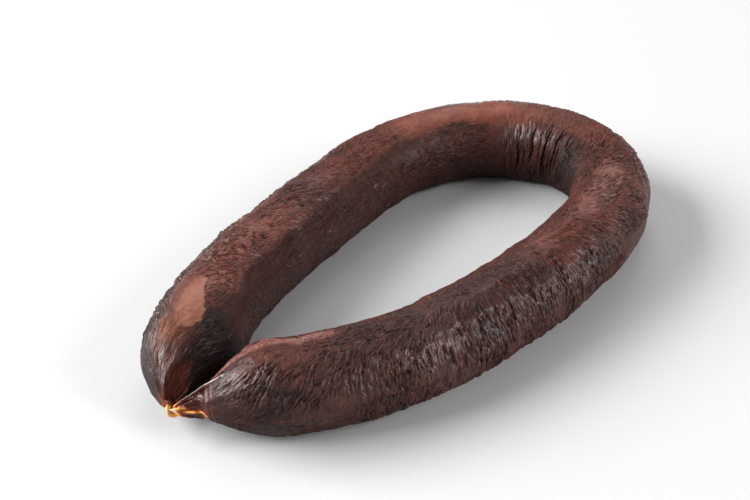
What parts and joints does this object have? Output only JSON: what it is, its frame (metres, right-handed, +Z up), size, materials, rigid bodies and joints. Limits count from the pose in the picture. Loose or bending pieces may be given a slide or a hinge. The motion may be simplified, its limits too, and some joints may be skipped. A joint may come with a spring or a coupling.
{
  "type": "blood sausage",
  "caption": "Smoked blood sausage in dark wrinkled skin, bent into a ring whose ends lie side by side, each drawn out to a short dry tip.",
  "frame": {"origin": "on the resting plane, under the middle of the ring's box", "axes": "+X along the ring's long side, away from its two ends; +Y towards the limb that carries the dry tail; +Z up"},
  "size_m": [0.2856, 0.1568, 0.0395],
  "materials": {
    "skin": "dark maroon to black brown smoked casing, satin, finely wrinkled",
    "dry_casing": "dried translucent casing, amber to dark red, pleated"
  },
  "bodies": {
    "root": {"sausage": "skin"}
  },
  "joints": []
}
